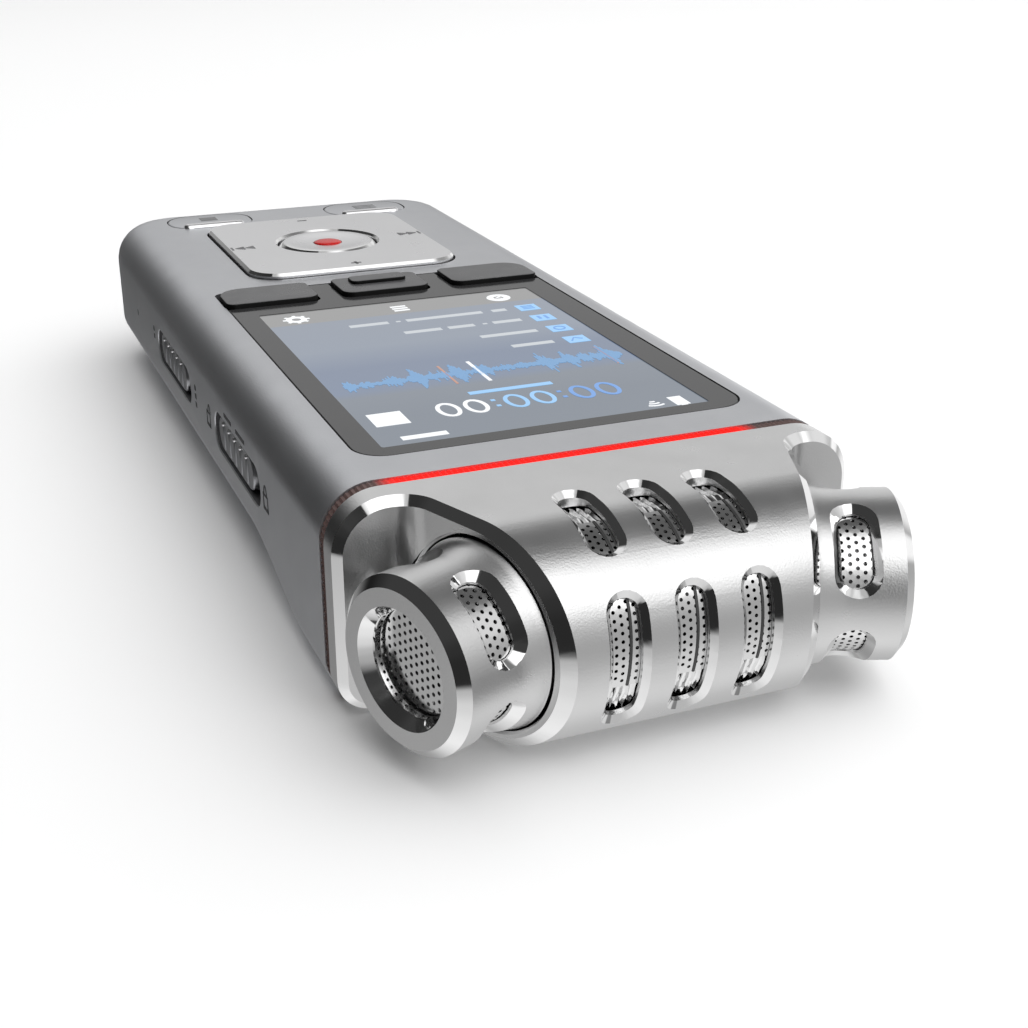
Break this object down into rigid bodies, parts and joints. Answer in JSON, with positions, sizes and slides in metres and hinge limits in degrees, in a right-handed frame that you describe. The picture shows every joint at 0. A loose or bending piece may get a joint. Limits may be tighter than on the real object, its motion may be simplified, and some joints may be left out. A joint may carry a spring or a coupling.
{
  "type": "handheld voice recorder",
  "caption": "Handheld voice recorder with a colour screen, key pad, side slide switches, light ring and an aluminium microphone head with slotted barrel and tilted microphone cans.",
  "frame": {"origin": "centre of the footprint in plan, z = 0 at the underside of the microphone head", "axes": "+Z out of the face, +Y towards the microphone head, +X to the right side of the face"},
  "size_m": [0.047, 0.1246, 0.0192],
  "materials": {
    "body_grey": "satin",
    "back_grey": "matte",
    "key_dark": "satin",
    "key_silver": "satin",
    "head_alu": "satin",
    "mesh_steel": "polished",
    "screen_glass": "gloss",
    "lcd_face": "gloss",
    "tray_steel": "satin",
    "ring_red": "gloss",
    "led_white": "gloss",
    "dot_red": "gloss",
    "board_green": "satin",
    "chip_black": "matte",
    "flex_amber": "satin",
    "socket_steel": "satin",
    "socket_black": "matte",
    "screw_steel": "satin",
    "bush_brass": "satin",
    "cell_wrap": "satin",
    "foam_black": "matte",
    "mat_rubber": "matte",
    "knob_grey": "satin",
    "carrier_grey": "matte",
    "cloth_black": "matte"
  },
  "bodies": {
    "case": {"upper_housing": "body_grey", "rear_cover": "back_grey", "speaker_mesh": "cloth_black", "loudspeaker": "chip_black", "battery": "cell_wrap", "battery_pad": "foam_black", "main_pcb": "board_green", "pcb_components": "chip_black", "shield_can": "tray_steel", "usb_socket": "socket_steel", "card_socket": "socket_steel", "headphone_jack": "socket_black", "microphone_jack": "socket_black", "tripod_bush": "bush_brass", "housing_screws": "screw_steel", "hold_switch": "socket_steel", "mode_switch": "socket_steel", "tact_switches": "tray_steel", "key_mat": "mat_rubber", "display_window": "screen_glass", "lcd_panel": "lcd_face", "lcd_tray": "tray_steel", "display_flex": "flex_amber", "light_ring": "ring_red", "led_board": "board_green", "ring_leds": "led_white", "mic_head": "head_alu", "head_cover": "back_grey", "head_screws": "screw_steel", "mic_flex": "flex_amber", "centre_mesh": "mesh_steel", "mesh_cradle": "mesh_steel", "centre_capsule": "tray_steel", "centre_boot": "foam_black", "can_right": "head_alu", "sleeve_right": "mesh_steel", "end_mesh_right": "mesh_steel", "capsule_right": "tray_steel", "boot_right": "foam_black", "can_left": "head_alu", "sleeve_left": "mesh_steel", "end_mesh_left": "mesh_steel", "capsule_left": "tray_steel", "boot_left": "foam_black"},
    "soft_key_left": {"soft_key_left": "key_dark"},
    "soft_key_middle": {"soft_key_middle": "key_dark"},
    "soft_key_right": {"soft_key_right": "key_dark"},
    "nav_carrier": {"nav_carrier": "carrier_grey"},
    "nav_pad": {"nav_pad": "key_silver"},
    "record_button": {"record_button": "key_silver", "record_dot": "dot_red"},
    "stop_button": {"stop_button": "key_silver"},
    "menu_button": {"menu_button": "key_silver"},
    "hold_slider": {"hold_slider": "knob_grey"},
    "mode_slider": {"mode_slider": "knob_grey"}
  },
  "joints": [
    {"name": "soft_key_left_press", "type": "slide", "parent": "case", "child": "soft_key_left", "axis": [0, 0, -1], "range_m": [0, 0.0004], "stiffness_N_per_m": 1500, "springref_m": -0.0001},
    {"name": "soft_key_middle_press", "type": "slide", "parent": "case", "child": "soft_key_middle", "axis": [0, 0, -1], "range_m": [0, 0.0004], "stiffness_N_per_m": 1500, "springref_m": -0.0001},
    {"name": "soft_key_right_press", "type": "slide", "parent": "case", "child": "soft_key_right", "axis": [0, 0, -1], "range_m": [0, 0.0004], "stiffness_N_per_m": 1500, "springref_m": -0.0001},
    {"name": "nav_left_right", "type": "hinge", "parent": "case", "child": "nav_carrier", "pos_m": [0, -0.0347, 0.0161], "axis": [0, 1, 0], "range_deg": [-2.2, 2.2], "stiffness_Nm_per_rad": 0.6},
    {"name": "nav_up_down", "type": "hinge", "parent": "nav_carrier", "child": "nav_pad", "pos_m": [0, -0.0347, 0.0174], "axis": [1, 0, 0], "range_deg": [-2.2, 2.2], "stiffness_Nm_per_rad": 0.6},
    {"name": "record_button_press", "type": "slide", "parent": "case", "child": "record_button", "axis": [0, 0, -1], "range_m": [0, 0.0004], "stiffness_N_per_m": 1500, "springref_m": -0.0001},
    {"name": "stop_button_press", "type": "slide", "parent": "case", "child": "stop_button", "axis": [0, 0, -1], "range_m": [0, 0.0004], "stiffness_N_per_m": 1500, "springref_m": -0.0001},
    {"name": "menu_button_press", "type": "slide", "parent": "case", "child": "menu_button", "axis": [0, 0, -1], "range_m": [0, 0.0004], "stiffness_N_per_m": 1500, "springref_m": -0.0001},
    {"name": "hold_slide", "type": "slide", "parent": "case", "child": "hold_slider", "axis": [0, 1, 0], "range_m": [-0.0007, 0.0033]},
    {"name": "mode_slide", "type": "slide", "parent": "case", "child": "mode_slider", "axis": [0, 1, 0], "range_m": [-0.0007, 0.0033]}
  ]
}
